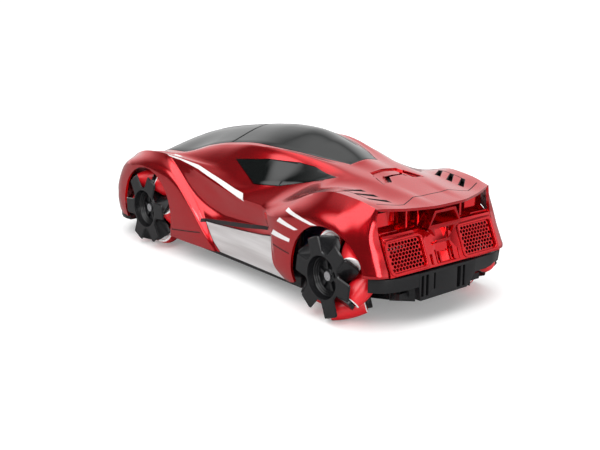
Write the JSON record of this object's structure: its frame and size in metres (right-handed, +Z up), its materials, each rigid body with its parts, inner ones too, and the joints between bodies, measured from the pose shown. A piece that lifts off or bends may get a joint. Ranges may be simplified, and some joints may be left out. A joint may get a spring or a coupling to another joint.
{
  "type": "rc drift car",
  "caption": "Toy radio-controlled drift car: glossy moulded coupe shell on a chassis tub with geared motors and omni wheels whose slanted barrel rollers spin freely.",
  "frame": {"origin": "on the floor under the middle of the bounding box", "axes": "+X forward to the nose, +Y to the left side, +Z up"},
  "size_m": [0.2688, 0.1102, 0.0831],
  "materials": {
    "battery_wrap": "dark film round cells",
    "black_plastic": "satin black plastic",
    "board_green": "green circuit board",
    "clear_lens": "clear lamp lens",
    "nylon": "white nylon",
    "red_paint": "candy red gloss paint over moulded plastic",
    "red_plating": "red plated plastic, mirror gloss",
    "red_rubber": "soft red roller",
    "silver_paint": "silver-white paint on plastic",
    "smoked_glass": "near-black glossy plastic, like smoked glass",
    "steel": "plain steel"
  },
  "bodies": {
    "car": {"body_shell": "red_paint", "windscreen": "smoked_glass", "roof_glass": "smoked_glass", "left_headlight": "clear_lens", "left_sill": "silver_paint", "right_headlight": "clear_lens", "right_sill": "silver_paint", "left_side_window": "smoked_glass", "right_side_window": "smoked_glass", "front_left_motor": "steel", "front_right_motor": "steel", "rear_left_motor": "steel", "rear_right_motor": "steel", "chassis_tub": "black_plastic", "battery_cover": "black_plastic", "cover_screw": "steel", "battery_pack": "battery_wrap", "circuit_board": "board_green", "rear_bumper": "black_plastic", "rear_panel": "red_plating", "left_tail_grille": "red_plating", "right_tail_grille": "red_plating", "front_bumper": "black_plastic"},
    "front_left_wheel": {"front_left_hub": "black_plastic", "front_left_axle": "steel"},
    "front_left_roller_1_body": {"front_left_roller_1": "red_rubber"},
    "front_left_roller_2_body": {"front_left_roller_2": "red_rubber"},
    "front_left_roller_3_body": {"front_left_roller_3": "red_rubber"},
    "front_left_roller_4_body": {"front_left_roller_4": "red_rubber"},
    "front_left_roller_5_body": {"front_left_roller_5": "red_rubber"},
    "front_left_roller_6_body": {"front_left_roller_6": "red_rubber"},
    "front_left_pinion_body": {"front_left_pinion": "nylon"},
    "front_right_wheel": {"front_right_hub": "black_plastic", "front_right_axle": "steel"},
    "front_right_roller_1_body": {"front_right_roller_1": "red_rubber"},
    "front_right_roller_2_body": {"front_right_roller_2": "red_rubber"},
    "front_right_roller_3_body": {"front_right_roller_3": "red_rubber"},
    "front_right_roller_4_body": {"front_right_roller_4": "red_rubber"},
    "front_right_roller_5_body": {"front_right_roller_5": "red_rubber"},
    "front_right_roller_6_body": {"front_right_roller_6": "red_rubber"},
    "front_right_pinion_body": {"front_right_pinion": "nylon"},
    "rear_left_wheel": {"rear_left_hub": "black_plastic", "rear_left_axle": "steel"},
    "rear_left_roller_1_body": {"rear_left_roller_1": "red_rubber"},
    "rear_left_roller_2_body": {"rear_left_roller_2": "red_rubber"},
    "rear_left_roller_3_body": {"rear_left_roller_3": "red_rubber"},
    "rear_left_roller_4_body": {"rear_left_roller_4": "red_rubber"},
    "rear_left_roller_5_body": {"rear_left_roller_5": "red_rubber"},
    "rear_left_roller_6_body": {"rear_left_roller_6": "red_rubber"},
    "rear_left_pinion_body": {"rear_left_pinion": "nylon"},
    "rear_right_wheel": {"rear_right_hub": "black_plastic", "rear_right_axle": "steel"},
    "rear_right_roller_1_body": {"rear_right_roller_1": "red_rubber"},
    "rear_right_roller_2_body": {"rear_right_roller_2": "red_rubber"},
    "rear_right_roller_3_body": {"rear_right_roller_3": "red_rubber"},
    "rear_right_roller_4_body": {"rear_right_roller_4": "red_rubber"},
    "rear_right_roller_5_body": {"rear_right_roller_5": "red_rubber"},
    "rear_right_roller_6_body": {"rear_right_roller_6": "red_rubber"},
    "rear_right_pinion_body": {"rear_right_pinion": "nylon"},
    "switch_key": {"power_switch": "nylon"}
  },
  "joints": [
    {"name": "front_left_wheel_spin", "type": "hinge", "parent": "car", "child": "front_left_wheel", "pos_m": [0.074, 0.0428, 0.024], "axis": [0, 1, 0], "continuous": true},
    {"name": "front_left_roller_1_spin", "type": "hinge", "parent": "front_left_wheel", "child": "front_left_roller_1_body", "pos_m": [0.06764, 0.0428, 0.00743], "axis": [-0.6601, 0.7071, 0.2534], "continuous": true},
    {"name": "front_left_roller_2_spin", "type": "hinge", "parent": "front_left_wheel", "child": "front_left_roller_2_body", "pos_m": [0.08517, 0.0428, 0.01021], "axis": [-0.5495, 0.7071, -0.445], "continuous": true},
    {"name": "front_left_roller_3_spin", "type": "hinge", "parent": "front_left_wheel", "child": "front_left_roller_3_body", "pos_m": [0.09153, 0.0428, 0.02678], "axis": [0.1106, 0.7071, -0.6984], "continuous": true},
    {"name": "front_left_roller_4_spin", "type": "hinge", "parent": "front_left_wheel", "child": "front_left_roller_4_body", "pos_m": [0.08036, 0.0428, 0.04057], "axis": [0.6601, 0.7071, -0.2534], "continuous": true},
    {"name": "front_left_roller_5_spin", "type": "hinge", "parent": "front_left_wheel", "child": "front_left_roller_5_body", "pos_m": [0.06283, 0.0428, 0.03779], "axis": [0.5495, 0.7071, 0.445], "continuous": true},
    {"name": "front_left_roller_6_spin", "type": "hinge", "parent": "front_left_wheel", "child": "front_left_roller_6_body", "pos_m": [0.05647, 0.0428, 0.02122], "axis": [-0.1106, 0.7071, 0.6984], "continuous": true},
    {"name": "front_left_pinion_spin", "type": "hinge", "parent": "car", "child": "front_left_pinion_body", "pos_m": [0.0608, 0.0199, 0.024], "axis": [0, 1, 0], "continuous": true},
    {"name": "front_right_wheel_spin", "type": "hinge", "parent": "car", "child": "front_right_wheel", "pos_m": [0.074, -0.0428, 0.024], "axis": [0, 1, 0], "continuous": true},
    {"name": "front_right_roller_1_spin", "type": "hinge", "parent": "front_right_wheel", "child": "front_right_roller_1_body", "pos_m": [0.06764, -0.0428, 0.00743], "axis": [-0.6601, -0.7071, 0.2534], "continuous": true},
    {"name": "front_right_roller_2_spin", "type": "hinge", "parent": "front_right_wheel", "child": "front_right_roller_2_body", "pos_m": [0.08517, -0.0428, 0.01021], "axis": [-0.5495, -0.7071, -0.445], "continuous": true},
    {"name": "front_right_roller_3_spin", "type": "hinge", "parent": "front_right_wheel", "child": "front_right_roller_3_body", "pos_m": [0.09153, -0.0428, 0.02678], "axis": [0.1106, -0.7071, -0.6984], "continuous": true},
    {"name": "front_right_roller_4_spin", "type": "hinge", "parent": "front_right_wheel", "child": "front_right_roller_4_body", "pos_m": [0.08036, -0.0428, 0.04057], "axis": [0.6601, -0.7071, -0.2534], "continuous": true},
    {"name": "front_right_roller_5_spin", "type": "hinge", "parent": "front_right_wheel", "child": "front_right_roller_5_body", "pos_m": [0.06283, -0.0428, 0.03779], "axis": [0.5495, -0.7071, 0.445], "continuous": true},
    {"name": "front_right_roller_6_spin", "type": "hinge", "parent": "front_right_wheel", "child": "front_right_roller_6_body", "pos_m": [0.05647, -0.0428, 0.02122], "axis": [-0.1106, -0.7071, 0.6984], "continuous": true},
    {"name": "front_right_pinion_spin", "type": "hinge", "parent": "car", "child": "front_right_pinion_body", "pos_m": [0.0872, -0.0199, 0.024], "axis": [0, 1, 0], "continuous": true},
    {"name": "rear_left_wheel_spin", "type": "hinge", "parent": "car", "child": "rear_left_wheel", "pos_m": [-0.0986, 0.0428, 0.024], "axis": [0, 1, 0], "continuous": true},
    {"name": "rear_left_roller_1_spin", "type": "hinge", "parent": "rear_left_wheel", "child": "rear_left_roller_1_body", "pos_m": [-0.10496, 0.0428, 0.00743], "axis": [0.6601, 0.7071, -0.2534], "continuous": true},
    {"name": "rear_left_roller_2_spin", "type": "hinge", "parent": "rear_left_wheel", "child": "rear_left_roller_2_body", "pos_m": [-0.08743, 0.0428, 0.01021], "axis": [0.5495, 0.7071, 0.445], "continuous": true},
    {"name": "rear_left_roller_3_spin", "type": "hinge", "parent": "rear_left_wheel", "child": "rear_left_roller_3_body", "pos_m": [-0.08107, 0.0428, 0.02678], "axis": [-0.1106, 0.7071, 0.6984], "continuous": true},
    {"name": "rear_left_roller_4_spin", "type": "hinge", "parent": "rear_left_wheel", "child": "rear_left_roller_4_body", "pos_m": [-0.09224, 0.0428, 0.04057], "axis": [-0.6601, 0.7071, 0.2534], "continuous": true},
    {"name": "rear_left_roller_5_spin", "type": "hinge", "parent": "rear_left_wheel", "child": "rear_left_roller_5_body", "pos_m": [-0.10977, 0.0428, 0.03779], "axis": [-0.5495, 0.7071, -0.445], "continuous": true},
    {"name": "rear_left_roller_6_spin", "type": "hinge", "parent": "rear_left_wheel", "child": "rear_left_roller_6_body", "pos_m": [-0.11613, 0.0428, 0.02122], "axis": [0.1106, 0.7071, -0.6984], "continuous": true},
    {"name": "rear_left_pinion_spin", "type": "hinge", "parent": "car", "child": "rear_left_pinion_body", "pos_m": [-0.0854, 0.0199, 0.024], "axis": [0, 1, 0], "continuous": true},
    {"name": "rear_right_wheel_spin", "type": "hinge", "parent": "car", "child": "rear_right_wheel", "pos_m": [-0.0986, -0.0428, 0.024], "axis": [0, 1, 0], "continuous": true},
    {"name": "rear_right_roller_1_spin", "type": "hinge", "parent": "rear_right_wheel", "child": "rear_right_roller_1_body", "pos_m": [-0.10496, -0.0428, 0.00743], "axis": [0.6601, -0.7071, -0.2534], "continuous": true},
    {"name": "rear_right_roller_2_spin", "type": "hinge", "parent": "rear_right_wheel", "child": "rear_right_roller_2_body", "pos_m": [-0.08743, -0.0428, 0.01021], "axis": [0.5495, -0.7071, 0.445], "continuous": true},
    {"name": "rear_right_roller_3_spin", "type": "hinge", "parent": "rear_right_wheel", "child": "rear_right_roller_3_body", "pos_m": [-0.08107, -0.0428, 0.02678], "axis": [-0.1106, -0.7071, 0.6984], "continuous": true},
    {"name": "rear_right_roller_4_spin", "type": "hinge", "parent": "rear_right_wheel", "child": "rear_right_roller_4_body", "pos_m": [-0.09224, -0.0428, 0.04057], "axis": [-0.6601, -0.7071, 0.2534], "continuous": true},
    {"name": "rear_right_roller_5_spin", "type": "hinge", "parent": "rear_right_wheel", "child": "rear_right_roller_5_body", "pos_m": [-0.10977, -0.0428, 0.03779], "axis": [-0.5495, -0.7071, -0.445], "continuous": true},
    {"name": "rear_right_roller_6_spin", "type": "hinge", "parent": "rear_right_wheel", "child": "rear_right_roller_6_body", "pos_m": [-0.11613, -0.0428, 0.02122], "axis": [0.1106, -0.7071, -0.6984], "continuous": true},
    {"name": "rear_right_pinion_spin", "type": "hinge", "parent": "car", "child": "rear_right_pinion_body", "pos_m": [-0.1118, -0.0199, 0.024], "axis": [0, 1, 0], "continuous": true},
    {"name": "power_switch_slide", "type": "slide", "parent": "car", "child": "switch_key", "axis": [1, 0, 0], "range_m": [0, 0.004]}
  ],
  "couplings": [
    {"joint": "front_left_pinion_spin", "follows": "front_left_wheel_spin", "ratio": -2.6667},
    {"joint": "front_right_pinion_spin", "follows": "front_right_wheel_spin", "ratio": -2.6667},
    {"joint": "rear_left_pinion_spin", "follows": "rear_left_wheel_spin", "ratio": -2.6667},
    {"joint": "rear_right_pinion_spin", "follows": "rear_right_wheel_spin", "ratio": -2.6667}
  ]
}
